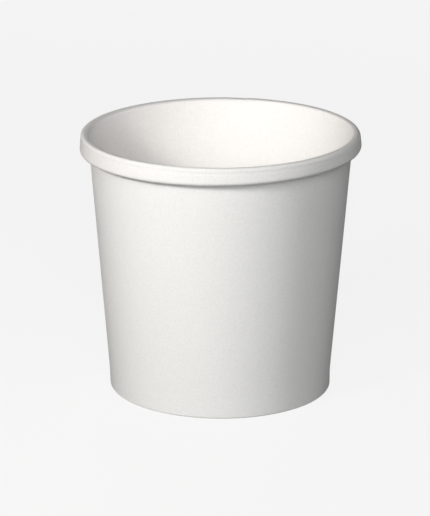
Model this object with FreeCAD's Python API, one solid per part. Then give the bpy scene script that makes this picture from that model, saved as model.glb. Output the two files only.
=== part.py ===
"""A paper sundae cup: a tapered side wall wrapped from one board, and a base disc sealed into its foot.

Millimetres. +Z is up, the origin is the centre of the foot where the cup stands, and the side seam is
at the back, a little to the right. A section is drawn in a plane through the axis, as (radius, height).
"""

import FreeCAD, Part
import math
import os

# Overall sizes
cup_height = 84.3
rim_diameter = 90.0
foot_diameter = 70.8

# Boards
wall_board = 0.45
base_board = 0.40

# Rolled rim, flattened on its outside so that a lid holds on it. Its bends are given inside the roll,
# where the seam's second layer lies.
rim_width = 3.15
rim_height = 5.5
rim_top_bend = 0.65
rim_bottom_bend = 0.3
rim_curl_bend = 0.05
rim_tuck_length = 2.0
rim_tuck_gap = 0.12

# Foot, where the wall's lower edge is folded in and up round the base's skirt
base_height = 7.6
base_corner_radius = 0.8
hem_top_gap = 0.4
skirt_foot_gap = 0.1
fold_radius = 0.08

# Side seam, where one end of the wall board laps over the other
seam_angle = 78.2
lap_width = 8.0
ramp_width = 1.6


def point(radius, height):
    """A point of a section, in the plane through the axis and +X."""
    return FreeCAD.Vector(radius, 0, height)


def wall_face(height, out=0.0):
    """The radius of the wall's inner face at a height, or of a face that lies out from it."""
    foot_radius = foot_diameter / 2 - wall_board
    mouth_radius = rim_diameter / 2 - rim_width
    taper = (mouth_radius - foot_radius) / cup_height
    return foot_radius + taper * height + out * math.hypot(1, taper)


def shifted(corners, radii, distance):
    """A path's corners and bend radii, moved to the right of its direction by a distance."""
    count = len(corners)
    runs = [(corners[i + 1] - corners[i]).normalize() for i in range(count - 1)]
    sides = [point(run.z, -run.x) for run in runs]
    moved = [corners[0] + sides[0] * distance]
    bends = [0.0]
    for i in range(1, count - 1):
        across = sides[i - 1] + sides[i]
        moved.append(corners[i] + across * (distance / (1 + sides[i - 1].dot(sides[i]))))
        turns_right = runs[i].dot(sides[i - 1]) > 0
        bends.append(radii[i] - distance if turns_right else radii[i] + distance)
    moved.append(corners[-1] + sides[-1] * distance)
    return moved, bends + [0.0]


def path_edges(corners, radii):
    """The straight runs of a path, joined by an arc at each bend."""
    edges = []
    start = corners[0]
    for i in range(1, len(corners) - 1):
        before = (corners[i - 1] - corners[i]).normalize()
        after = (corners[i + 1] - corners[i]).normalize()
        half = before.getAngle(after) / 2
        reach = radii[i] / math.tan(half)
        bend_start = corners[i] + before * reach
        bend_end = corners[i] + after * reach
        inward = (before + after).normalize()
        bend_middle = corners[i] + inward * (radii[i] / math.sin(half) - radii[i])
        edges.append(Part.LineSegment(start, bend_start).toShape())
        edges.append(Part.Arc(bend_start, bend_middle, bend_end).toShape())
        start = bend_end
    edges.append(Part.LineSegment(start, corners[-1]).toShape())
    return edges


def board_section(corners, radii, layer):
    """The closed outline of one board thickness, the first or second layer on a path's right."""
    near_corners, near_radii = shifted(corners, radii, layer * wall_board)
    far_corners, far_radii = shifted(corners, radii, (layer + 1) * wall_board)
    edges = path_edges(near_corners, near_radii) + path_edges(far_corners, far_radii)
    edges.append(Part.LineSegment(near_corners[0], far_corners[0]).toShape())
    edges.append(Part.LineSegment(near_corners[-1], far_corners[-1]).toShape())
    return Part.Wire(Part.__sortEdges__(edges))


def rim_bend(bend, room):
    """The radius of the rim's surface at a bend, as far as the face between it and the next has room."""
    return min(bend + 2 * wall_board, room / 2)


def wall_path(layers):
    """The wall board's inner face from the top of the hem, under the foot, up the wall and round the rim.

    Where the seam makes the board two layers thick, the fold stands higher and the rim's end is tucked
    further out, in a closer gap, so that the foot and the rim keep their size.
    """
    hem_top = base_height - base_board - base_corner_radius - hem_top_gap
    fold_height = layers * wall_board
    rim_radius = rim_diameter / 2
    rim_bottom = cup_height - rim_height
    rim_bottom_room = rim_radius - wall_face(rim_bottom, 2 * wall_board + rim_tuck_gap)
    rim_top_radius = rim_bend(rim_top_bend, rim_width)
    rim_bottom_radius = rim_bend(rim_bottom_bend, rim_bottom_room)
    rim_curl_radius = rim_bend(rim_curl_bend, rim_bottom_room)
    tuck_top = rim_bottom + rim_curl_radius + rim_tuck_length
    tuck_out = layers * wall_board + rim_tuck_gap / layers
    corners = [
        point(wall_face(hem_top, -base_board), hem_top),
        point(wall_face(fold_height, -base_board), fold_height),
        point(wall_face(fold_height), fold_height),
        point(wall_face(cup_height), cup_height),
        point(rim_radius, cup_height),
        point(rim_radius, rim_bottom),
        point(wall_face(rim_bottom, tuck_out), rim_bottom),
        point(wall_face(tuck_top, tuck_out), tuck_top),
    ]
    radii = [0.0, fold_radius, fold_radius, rim_top_radius, rim_top_radius,
             rim_bottom_radius, rim_curl_radius, 0.0]
    return corners, radii


def turned(shape, angle):
    """A copy of a shape, turned about the cup's axis by an angle in degrees."""
    copy = shape.copy()
    copy.rotate(FreeCAD.Vector(0, 0, 0), FreeCAD.Vector(0, 0, 1), angle)
    return copy


def swept(wire, start, sweep):
    """The solid that a section makes as it goes round the axis from a start angle."""
    face = turned(Part.Face(wire), start)
    return face.revolve(FreeCAD.Vector(0, 0, 0), FreeCAD.Vector(0, 0, 1), sweep)


def side_wall():
    """The wall board: one layer nearly all the way round, a ramp over its own inner end, and the lap."""
    middle_radius = wall_face(cup_height / 2)
    lap_angle = math.degrees(lap_width / middle_radius)
    ramp_angle = math.degrees(ramp_width / middle_radius)
    single = board_section(*wall_path(1), 0)
    under = board_section(*wall_path(2), 0)
    over = board_section(*wall_path(2), 1)
    round_wall = swept(single, seam_angle + ramp_angle, 360 - lap_angle - ramp_angle)
    under_lap = swept(under, seam_angle - lap_angle, lap_angle)
    over_lap = swept(over, seam_angle - lap_angle, lap_angle)
    ramp = Part.makeLoft([turned(over, seam_angle), turned(single, seam_angle + ramp_angle)], True, True)
    return round_wall.fuse([under_lap, over_lap, ramp]).removeSplitter()


def base_disc():
    """The base: a flat disc with its edge turned down into a skirt, between the wall and its hem."""
    skirt_foot = 2 * wall_board + skirt_foot_gap
    outer = [
        point(0, base_height),
        point(wall_face(base_height), base_height),
        point(wall_face(skirt_foot), skirt_foot),
    ]
    radii = [0.0, base_corner_radius + base_board, 0.0]
    inner, inner_radii = shifted(outer, radii, base_board)
    edges = path_edges(outer, radii) + path_edges(inner, inner_radii)
    edges.append(Part.LineSegment(outer[0], inner[0]).toShape())
    edges.append(Part.LineSegment(outer[-1], inner[-1]).toShape())
    wire = Part.Wire(Part.__sortEdges__(edges))
    return swept(wire, 0, 360)


def main():
    os.makedirs("parts", exist_ok=True)
    for name, shape in {"side_wall": side_wall(), "base_disc": base_disc()}.items():
        shape.exportStep(f"parts/{name}.step")
        box = shape.BoundBox
        print(name, shape.ShapeType, "valid", shape.isValid(), "solids", len(shape.Solids),
              "volume %.1f" % shape.Volume, "size %.2f %.2f %.2f" % (box.XLength, box.YLength, box.ZLength))


main()
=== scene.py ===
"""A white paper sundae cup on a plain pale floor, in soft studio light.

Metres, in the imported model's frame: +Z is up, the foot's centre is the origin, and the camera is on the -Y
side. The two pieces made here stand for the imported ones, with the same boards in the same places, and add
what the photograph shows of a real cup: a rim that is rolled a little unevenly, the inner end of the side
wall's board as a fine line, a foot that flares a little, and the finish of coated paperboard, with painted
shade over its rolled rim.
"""

import math

import bpy
from mathutils import Matrix, Vector


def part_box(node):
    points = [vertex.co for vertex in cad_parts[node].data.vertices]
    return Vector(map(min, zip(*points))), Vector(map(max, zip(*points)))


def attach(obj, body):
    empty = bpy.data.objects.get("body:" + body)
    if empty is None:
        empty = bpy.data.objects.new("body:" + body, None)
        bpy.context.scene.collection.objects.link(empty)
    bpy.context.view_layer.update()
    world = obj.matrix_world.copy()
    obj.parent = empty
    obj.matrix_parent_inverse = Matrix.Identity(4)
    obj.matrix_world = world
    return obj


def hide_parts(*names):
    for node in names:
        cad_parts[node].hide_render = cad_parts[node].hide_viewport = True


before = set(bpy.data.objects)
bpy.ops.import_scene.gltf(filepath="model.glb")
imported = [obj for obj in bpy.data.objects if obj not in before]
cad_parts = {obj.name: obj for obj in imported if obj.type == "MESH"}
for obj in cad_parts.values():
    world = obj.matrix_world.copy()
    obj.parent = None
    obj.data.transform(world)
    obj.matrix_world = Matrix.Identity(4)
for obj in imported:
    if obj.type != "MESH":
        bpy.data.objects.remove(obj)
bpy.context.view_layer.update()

MM = 0.001

# The cup's sizes, from the frame and, where a box can't give them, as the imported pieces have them
wall_low, wall_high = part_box("side_wall")
cup_height = wall_high.z
rim_radius = (wall_high.x - wall_low.x) / 2
rim_width = 3.15 * MM
mouth_radius = rim_radius - rim_width
base_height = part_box("base_disc")[1].z
foot_radius = 35.4 * MM
wall_board = 0.45 * MM
base_board = 0.40 * MM

# The rolled rim. A pair holds a size at the left of the photograph and at the right.
rim_height = (6.35 * MM, 5.48 * MM)
rim_inner_bend = (1.6 * MM, 0.8 * MM)
rim_outer_bend = (0.85 * MM, 1.45 * MM)
rim_bottom_bend = (1.25 * MM, 1.15 * MM)
rim_slant = (0.5 * MM, 0.68 * MM)
rim_inner_drop = 0.62 * MM
rim_curl_bend = 0.95 * MM
rim_tuck_length = 2.0 * MM
rim_tuck_gap = 0.12 * MM

# The soft crease round the front of the rim, and the part of the rim's width over which it comes in
crease_below = 1.85 * MM
crease_depth = 0.13 * MM
crease_width = 0.45 * MM
crease_inset = 1.5 * MM
crease_fade = 0.8 * MM

# On the real cup the rim isn't quite level or centred. The wall leans from the foot up, and what raises the
# rim begins at a share of the height.
rim_tilt = 0.47 * MM
rim_rise = 0.15 * MM
rim_front_rise = 0.2 * MM
rim_lean = -0.16 * MM
raised_from = 0.5

# The foot, with a slight flare at the left of the photograph and at the right
base_corner_radius = 0.8 * MM
hem_top_gap = 0.4 * MM
skirt_foot = 1.0 * MM
foot_flare = (0.2 * MM, 0.38 * MM)
flare_height = 3.6 * MM
fold_radius = 0.08 * MM

# The side seam, at the back and a little to the right, with angles in degrees. Both boards of the lap are
# thinner by a share of their thickness, and the inner end is pressed to a share of what is left.
seam_angle = 78.2
lap_width = 8.0 * MM
ramp_width = 6.0 * MM
layer_gap = 0.01 * MM
lap_pressed = 0.35
edge_pressed = 0.5
edge_width = 5.0 * MM
settle_angle = 2.5

# The board's whites: its coated side, its plain side, painted shade on the coated side over the roll's top
# and over its face, and the cut edge. The painted shades come in between two distances out from the mouth.
coated_white = (0.941, 0.927, 0.912)
outside_white = (0.823, 0.828, 0.82)
# Painted shade: the coated side made darker over the roll's top, where it faces up
roll_top_painted_shade = (0.70, 0.70, 0.70)
roll_top_shade_fade = (-0.2 * MM, 1.0 * MM)
# Painted shade: the coated side made darker over the rolled rim's face
roll_face_painted_shade = (0.795, 0.794, 0.786)
roll_face_shade_fade = (1.2 * MM, 2.5 * MM)
edge_white = (0.74, 0.72, 0.68)

# The board's fibres, as waves in a metre and levels of finer detail
fibre_scale = 1600.0
fibre_detail = 4.0

# How finely the surfaces are cut: steps round the cup in degrees, and points along a section
turn_step = 0.8
settle_step = 0.3
ramp_step = 0.2
arc_points = 8
wall_run_counts = [4, 1, 18, 3, 10, 3, 2]
disc_run_counts = [12, 4]
disc_turns = 240
sharp_angle = 40

# The places of the boards' materials on their meshes
coated_slot = 0
outside_slot = 1
cut_slot = 2


def wall_face(height, out=0.0):
    """The radius of the wall's inner face at a height, or of a face that lies out from it."""
    inner_foot_radius = foot_radius - wall_board
    taper = (mouth_radius - inner_foot_radius) / cup_height
    return inner_foot_radius + taper * height + out * math.hypot(1, taper)


def between(pair, share):
    """A value that goes from the first of a pair to the second."""
    return pair[0] + (pair[1] - pair[0]) * share


def smooth(value):
    """A smooth step from 0 to 1, as value goes from 0 to 1."""
    t = min(max(value, 0.0), 1.0)
    return t * t * (3 - 2 * t)


def shifted(corners, radii, distance):
    """A path's corners and bend radii, moved to the right of its direction by a distance."""
    runs = [(b - a).normalized() for a, b in zip(corners, corners[1:])]
    sides = [Vector((run.y, -run.x)) for run in runs]
    moved = [corners[0] + sides[0] * distance]
    bends = [0.0]
    for i in range(1, len(corners) - 1):
        across = sides[i - 1] + sides[i]
        moved.append(corners[i] + across * (distance / (1 + sides[i - 1].dot(sides[i]))))
        turns_right = runs[i].dot(sides[i - 1]) > 0
        bends.append(radii[i] - distance if turns_right else radii[i] + distance)
    moved.append(corners[-1] + sides[-1] * distance)
    return moved, bends + [0.0]


def path_points(corners, radii, run_counts):
    """Points along a path of straight runs and arcs, with a set number of points on each run and arc."""
    points = []
    start = corners[0]
    for i in range(1, len(corners)):
        if i == len(corners) - 1:
            end = corners[-1]
        else:
            before = (corners[i - 1] - corners[i]).normalized()
            after = (corners[i + 1] - corners[i]).normalized()
            half = before.angle(after) / 2
            reach = radii[i] / math.tan(half)
            end = corners[i] + before * reach
        count = run_counts[i - 1]
        points += [start.lerp(end, k / count) for k in range(count)]
        if i == len(corners) - 1:
            points.append(end)
            break
        centre = corners[i] + (before + after).normalized() * (radii[i] / math.sin(half))
        start = corners[i] + after * reach
        first, last = end - centre, start - centre
        turn = math.pi - 2 * half
        sine = math.sin(turn)
        for k in range(arc_points):
            share = k / arc_points
            along = first * math.sin((1 - share) * turn) + last * math.sin(share * turn)
            points.append(centre + along / sine)
    return points


def wall_path(side, layers, board):
    """The wall board's inner face, from the top of the hem round the foot, up the wall and round the rim.

    side is 0 on the left and 1 on the right. layers is 1 for a single board and 2 within the lap, and
    board is the thickness of each.
    """
    hem_top = base_height - base_board - base_corner_radius - hem_top_gap
    fold_height = layers * board
    rim_bottom = cup_height - between(rim_height, side)
    tuck_top = rim_bottom + rim_curl_bend + rim_tuck_length
    tuck_out = layers * board + rim_tuck_gap / layers
    corners = [
        Vector((wall_face(hem_top, -base_board), hem_top)),
        Vector((wall_face(fold_height, -base_board), fold_height)),
        Vector((wall_face(fold_height), fold_height)),
        Vector((wall_face(cup_height - rim_inner_drop), cup_height - rim_inner_drop)),
        Vector((rim_radius - between(rim_slant, side), cup_height)),
        Vector((rim_radius, rim_bottom)),
        Vector((wall_face(rim_bottom, tuck_out), rim_bottom)),
        Vector((wall_face(tuck_top, tuck_out), tuck_top)),
    ]
    radii = [0.0, fold_radius, fold_radius, between(rim_inner_bend, side), between(rim_outer_bend, side),
             between(rim_bottom_bend, side), rim_curl_bend, 0.0]
    return corners, radii


def creased(point, angle):
    """A point of the rim's surface, pressed in a little along a soft crease round the front."""
    front = max(-math.sin(angle), 0.0)
    on_outside = smooth((point.x - rim_radius + crease_inset) / crease_fade)
    depth = crease_depth * math.exp(-(((point.y - cup_height + crease_below) / crease_width) ** 2))
    return Vector((point.x - depth * on_outside * front * front, point.y))


def placed(point, angle):
    """A section's point (radius, height) as a place on the cup, with its slight tilt, lean and flare."""
    share = point.y / cup_height
    side = (1 + math.cos(angle)) / 2
    rim_raised = rim_rise + rim_tilt * math.cos(angle) + rim_front_rise * (1 - math.sin(angle)) / 2
    raised = rim_raised * smooth((share - raised_from) / (1 - raised_from))
    flare = between(foot_flare, side) * (1 - smooth(point.y / flare_height))
    radius = point.x + flare * min(point.x / foot_radius, 1)
    across = radius * math.cos(angle) + rim_lean * share
    return Vector((across, radius * math.sin(angle), point.y + raised))


def board_turns():
    """The angles along the wall board, from its inner end round to its outer end, in degrees.

    Each comes with how many board thicknesses the board has moved out, and how far its foot and rim
    make room for a second layer, from 0 to 1.
    """
    middle_radius = wall_face(cup_height / 2)
    lap = math.degrees(lap_width / middle_radius)
    ramp = math.degrees(ramp_width / middle_radius)
    stops = [0.0, lap, lap + settle_angle, 360.0 - ramp, 360.0, 360.0 + lap]
    steps = [turn_step, settle_step, turn_step, ramp_step, turn_step]
    turns = []
    for low, high, step in zip(stops, stops[1:], steps):
        count = math.ceil((high - low) / step)
        turns += [low + (high - low) * k / count for k in range(count)]
    turns.append(stops[-1])
    states = []
    for turn in turns:
        out = min(max((turn - stops[3]) / ramp, 0.0), 1.0)
        room = max(1 - smooth((turn - lap) / settle_angle), out)
        states.append((turn, out, room))
    return states


def pressed_edge(turn):
    """How thick the board is near its inner end, as a share, at an angle along it."""
    width = math.degrees(edge_width / wall_face(cup_height / 2))
    return between((edge_pressed, 1.0), smooth(turn / width))


def wall_section(turn, out, room):
    """Both faces of the wall board at one angle along it, as two rows of places.

    Within the lap the boards are pressed thinner.
    """
    angle = math.radians(seam_angle - turn)
    side = (1 + math.cos(angle)) / 2
    pressed = wall_board * (1 - lap_pressed * room)
    board = pressed * pressed_edge(turn)
    layer_under = wall_board * (1 - lap_pressed) * pressed_edge(max(turn - 360.0, 0.0))
    corners, radii = wall_path(side, 1 + room, pressed)
    moved_out = out * (layer_under + layer_gap)
    faces = []
    for distance in (moved_out, moved_out + board):
        points = path_points(*shifted(corners, radii, distance), wall_run_counts)
        faces.append([placed(creased(point, angle), angle) for point in points])
    return faces


def new_object(name, vertices, faces, materials, material_of_face):
    """A mesh object from its vertices and faces, smooth except at its sharp edges."""
    mesh = bpy.data.meshes.new(name)
    mesh.from_pydata(vertices, [], faces)
    for material in materials:
        mesh.materials.append(material)
    mesh.polygons.foreach_set("material_index", material_of_face)
    mesh.polygons.foreach_set("use_smooth", [True] * len(faces))
    mesh.set_sharp_from_angle(angle=math.radians(sharp_angle))
    mesh.validate()
    piece = bpy.data.objects.new(name, mesh)
    bpy.context.scene.collection.objects.link(piece)
    return piece


def make_side_wall(coated, outside, cut_edge):
    """The wall's board as one sheet, from its inner end round to its outer end."""
    vertices = []
    faces = []
    slots = []
    sections = [wall_section(*state) for state in board_turns()]
    row = len(sections[0][0])
    for inner_face, outer_face in sections:
        vertices += inner_face + outer_face
    for i in range(len(sections) - 1):
        this, following = 2 * row * i, 2 * row * (i + 1)
        for k in range(row - 1):
            faces.append((this + k, following + k, following + k + 1, this + k + 1))
            slots.append(coated_slot)
            far = row + k
            faces.append((this + far, this + far + 1, following + far + 1, following + far))
            slots.append(outside_slot)
        for k, flip in ((0, False), (row - 1, True)):
            edge = (this + k, this + row + k, following + row + k, following + k)
            faces.append(edge[::-1] if flip else edge)
            slots.append(cut_slot)
    for i, flip in ((0, False), (len(sections) - 1, True)):
        this = 2 * row * i
        for k in range(row - 1):
            end = (this + k, this + k + 1, this + row + k + 1, this + row + k)
            faces.append(end[::-1] if flip else end)
            slots.append(cut_slot)
    return new_object("side_wall_board", vertices, faces, [coated, outside, cut_edge], slots)


def make_base_disc(coated, outside):
    """The base's board: a flat disc with its edge turned down into a skirt."""
    outer = [
        Vector((0.0, base_height)),
        Vector((wall_face(base_height), base_height)),
        Vector((wall_face(skirt_foot), skirt_foot)),
    ]
    radii = [0.0, base_corner_radius + base_board, 0.0]
    inner, inner_radii = shifted(outer, radii, base_board)
    top = path_points(outer, radii, disc_run_counts)
    under = path_points(inner, inner_radii, disc_run_counts)
    outline = top + under[::-1]
    ring = len(outline) - 2
    vertices = [Vector((0.0, 0.0, outline[0].y)), Vector((0.0, 0.0, outline[-1].y))]
    for i in range(disc_turns):
        angle = 2 * math.pi * i / disc_turns
        vertices += [placed(p, angle) for p in outline[1:-1]]
    faces = []
    slots = []
    for i in range(disc_turns):
        this, following = 2 + ring * i, 2 + ring * ((i + 1) % disc_turns)
        faces.append((0, this, following))
        slots.append(coated_slot)
        faces.append((1, following + ring - 1, this + ring - 1))
        slots.append(outside_slot)
        for k in range(ring - 1):
            faces.append((this + k, this + k + 1, following + k + 1, following + k))
            slots.append(coated_slot if k < len(top) - 2 else outside_slot)
    return new_object("base_disc_board", vertices, faces, [coated, outside], slots)


def distance_out(nodes, links, place):
    """The distance from the cup's axis, at each point of a surface."""
    split = nodes.new("ShaderNodeSeparateXYZ")
    links.new(place.outputs["Object"], split.inputs[0])
    flat = nodes.new("ShaderNodeCombineXYZ")
    links.new(split.outputs["X"], flat.inputs["X"])
    links.new(split.outputs["Y"], flat.inputs["Y"])
    radius = nodes.new("ShaderNodeVectorMath")
    radius.operation = "LENGTH"
    links.new(flat.outputs[0], radius.inputs[0])
    return radius.outputs["Value"]


def paperboard(name, colour, painted_shades, mottle, roughness, grain):
    """White matt paperboard: a faint mottling, as a share of its shade, and a fine grain, as a depth.

    Each entry of the painted shades over the rolled rim is a colour and the two distances between which it
    comes in.
    """
    material = bpy.data.materials.new(name)
    material.use_nodes = True
    nodes = material.node_tree.nodes
    links = material.node_tree.links
    shader = nodes["Principled BSDF"]
    shader.inputs["Roughness"].default_value = roughness
    shader.inputs["Specular IOR Level"].default_value = 0.0
    place = nodes.new("ShaderNodeTexCoord")

    plain = nodes.new("ShaderNodeRGB")
    plain.outputs["Color"].default_value = (*colour, 1)
    tint = plain.outputs["Color"]
    radius = distance_out(nodes, links, place)
    # Painted shade over the rolled rim: darker colours mixed in by distance from the cup's axis
    for shade_colour, (low, high) in painted_shades:
        share = nodes.new("ShaderNodeMapRange")
        share.interpolation_type = "SMOOTHSTEP"
        share.inputs["From Min"].default_value = mouth_radius + low
        share.inputs["From Max"].default_value = mouth_radius + high
        links.new(radius, share.inputs["Value"])
        mix = nodes.new("ShaderNodeMix")
        mix.data_type = "RGBA"
        mix.inputs["B"].default_value = (*shade_colour, 1)
        links.new(share.outputs["Result"], mix.inputs["Factor"])
        links.new(tint, mix.inputs["A"])
        tint = mix.outputs["Result"]

    fibres = nodes.new("ShaderNodeTexNoise")
    fibres.inputs["Scale"].default_value = fibre_scale
    fibres.inputs["Detail"].default_value = fibre_detail
    links.new(place.outputs["Object"], fibres.inputs["Vector"])
    change = nodes.new("ShaderNodeMapRange")
    change.inputs["To Min"].default_value = 1 - mottle
    change.inputs["To Max"].default_value = 1 + mottle
    links.new(fibres.outputs["Fac"], change.inputs["Value"])
    shade = nodes.new("ShaderNodeVectorMath")
    shade.operation = "SCALE"
    links.new(tint, shade.inputs[0])
    links.new(change.outputs["Result"], shade.inputs["Scale"])
    links.new(shade.outputs["Vector"], shader.inputs["Base Color"])

    bump = nodes.new("ShaderNodeBump")
    bump.inputs["Strength"].default_value = 1.0
    bump.inputs["Distance"].default_value = grain
    links.new(fibres.outputs["Fac"], bump.inputs["Height"])
    links.new(bump.outputs["Normal"], shader.inputs["Normal"])
    return material


def dress_the_cup():
    """The two boards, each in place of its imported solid."""
    # Painted shade over the rolled rim's top and face of the coated board
    painted_rim_shades = [(roll_top_painted_shade, roll_top_shade_fade), (roll_face_painted_shade, roll_face_shade_fade)]
    coated = paperboard("coated_board", coated_white, painted_rim_shades,
                        mottle=0.085, roughness=0.5, grain=0.012 * MM)
    outside = paperboard("outside_board", outside_white, [],
                         mottle=0.085, roughness=0.65, grain=0.015 * MM)
    cut_edge = paperboard("board_cut_edge", edge_white, [],
                          mottle=0.05, roughness=0.8, grain=0.02 * MM)
    wall = make_side_wall(coated, outside, cut_edge)
    disc = make_base_disc(coated, outside)
    for piece, node, slot in ((wall, "side_wall", "wall_board"), (disc, "base_disc", "base_board")):
        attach(piece, "root")
        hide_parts(node)


# The camera, fitted to the photograph's outline of the cup. Lengths on the picture are in its own pixels,
# and angles are in degrees.
picture_width = 430
picture_height = 516
focal_length = 3044.2
camera_distance = 981.4 * MM
camera_elevation = 17.484
camera_roll = 0.332
aim_x = 220.53
aim_y = 257.50
sensor = 36.0


def make_camera():
    """A camera at the photograph's viewing angle, aimed at the middle of the cup's axis."""
    data = bpy.data.cameras.new("camera")
    data.sensor_width = sensor
    data.lens = sensor * focal_length / picture_height
    data.shift_x = (picture_width / 2 - aim_x) / picture_height
    data.shift_y = (aim_y - picture_height / 2) / picture_height
    data.clip_start = 0.01
    data.clip_end = 20.0
    camera = bpy.data.objects.new("camera", data)
    bpy.context.scene.collection.objects.link(camera)
    elevation = math.radians(camera_elevation)
    back = Vector((0.0, -math.cos(elevation), math.sin(elevation)))
    turned = (-back).to_track_quat("-Z", "Y").to_matrix()
    roll = Matrix.Rotation(math.radians(camera_roll), 3, "Z")
    camera.matrix_world = Matrix.LocRotScale(Vector((0, 0, cup_height / 2)) + back * camera_distance,
                                             turned @ roll, None)
    bpy.context.scene.camera = camera


# The stage, in shares of white. The ground behind the floor is a plain pale grey. The floor as it is seen is
# an even glow with a small lit share, which holds the soft shadow. The light that it throws back is that of
# a matt floor with a shade of its own. The room gives no light, so all of it comes from the lamps.
ground = 0.905
floor_glow = 0.862
floor_share = 0.07
floor_shade = 0.29
ambient = 0.0
floor_reach = 4.0


def seen_directly(nodes, links):
    """1 for what is seen of a ground, by the camera or in gloss and glass, and 0 for the light it gives."""
    path = nodes.new("ShaderNodeLightPath")
    total = path.outputs["Is Camera Ray"]
    for ray in ("Is Glossy Ray", "Is Transmission Ray"):
        add = nodes.new("ShaderNodeMath")
        add.operation = "ADD"
        add.use_clamp = True
        links.new(total, add.inputs[0])
        links.new(path.outputs[ray], add.inputs[1])
        total = add.outputs[0]
    return total


def floor_material():
    """A plain pale floor: an even glow with a soft shadow where it is seen, and matt for the light."""
    material = bpy.data.materials.new("floor")
    material.use_nodes = True
    nodes = material.node_tree.nodes
    links = material.node_tree.links
    nodes.clear()
    matt = nodes.new("ShaderNodeBsdfDiffuse")
    matt.inputs["Color"].default_value = (floor_shade, floor_shade, floor_shade, 1)
    shadowed = nodes.new("ShaderNodeBsdfDiffuse")
    shadowed.inputs["Color"].default_value = (floor_share, floor_share, floor_share, 1)
    glow = nodes.new("ShaderNodeEmission")
    glow.inputs["Strength"].default_value = floor_glow
    seen = nodes.new("ShaderNodeAddShader")
    links.new(shadowed.outputs[0], seen.inputs[0])
    links.new(glow.outputs[0], seen.inputs[1])
    mix = nodes.new("ShaderNodeMixShader")
    links.new(seen_directly(nodes, links), mix.inputs[0])
    links.new(matt.outputs[0], mix.inputs[1])
    links.new(seen.outputs[0], mix.inputs[2])
    output = nodes.new("ShaderNodeOutputMaterial")
    links.new(mix.outputs[0], output.inputs["Surface"])
    return material


def make_stage():
    """The floor, and the plain ground that is seen behind it."""
    mesh = bpy.data.meshes.new("floor")
    signs = ((-1, -1), (1, -1), (1, 1), (-1, 1))
    corners = [(x * floor_reach, y * floor_reach, 0) for x, y in signs]
    mesh.from_pydata(corners, [], [(0, 1, 2, 3)])
    mesh.materials.append(floor_material())
    floor = bpy.data.objects.new("floor", mesh)
    bpy.context.scene.collection.objects.link(floor)

    world = bpy.data.worlds.new("studio")
    world.use_nodes = True
    bpy.context.scene.world = world
    nodes = world.node_tree.nodes
    links = world.node_tree.links
    light = nodes["Background"]
    light.inputs["Color"].default_value = (1, 1, 1, 1)
    light.inputs["Strength"].default_value = ambient
    seen = nodes.new("ShaderNodeBackground")
    seen.inputs["Color"].default_value = (1, 1, 1, 1)
    seen.inputs["Strength"].default_value = ground
    mix = nodes.new("ShaderNodeMixShader")
    links.new(seen_directly(nodes, links), mix.inputs[0])
    links.new(light.outputs[0], mix.inputs[1])
    links.new(seen.outputs[0], mix.inputs[2])
    links.new(mix.outputs[0], nodes["World Output"].inputs["Surface"])


def area_light(name, azimuth, elevation, distance, size, power, colour=(1, 1, 1)):
    """A round soft lamp that faces the cup. Azimuth 0 is the camera's side and 90 is on the right."""
    data = bpy.data.lights.new(name, "AREA")
    data.shape = "DISK"
    data.size = size
    data.energy = power
    data.color = colour
    light = bpy.data.objects.new(name, data)
    bpy.context.scene.collection.objects.link(light)
    a, e = math.radians(azimuth), math.radians(elevation)
    back = Vector((math.sin(a) * math.cos(e), -math.cos(a) * math.cos(e), math.sin(e)))
    light.location = Vector((0, 0, cup_height / 2)) + back * distance
    light.rotation_euler = (-back).to_track_quat("-Z", "Y").to_euler()
    light.visible_camera = False


warm_white = (1.0, 0.966, 0.925)


def make_lights():
    """A close warm lamp at the left, three soft ones at the front, and low ones at the right and behind."""
    area_light("left", azimuth=-42, elevation=30, distance=0.46, size=0.1, power=1.18, colour=warm_white)
    area_light("upper", azimuth=10, elevation=45, distance=0.9, size=0.3, power=0.55)
    area_light("front", azimuth=10, elevation=26, distance=1.2, size=0.5, power=1.5)
    area_light("broad", azimuth=-4, elevation=25, distance=1.3, size=0.9, power=7.4)
    area_light("right", azimuth=120, elevation=15, distance=0.9, size=0.4, power=1.0)
    area_light("back", azimuth=180, elevation=5, distance=1.2, size=0.25, power=8.5)


dress_the_cup()
make_stage()
make_lights()
make_camera()

bpy.context.scene.view_settings.view_transform = "Standard"
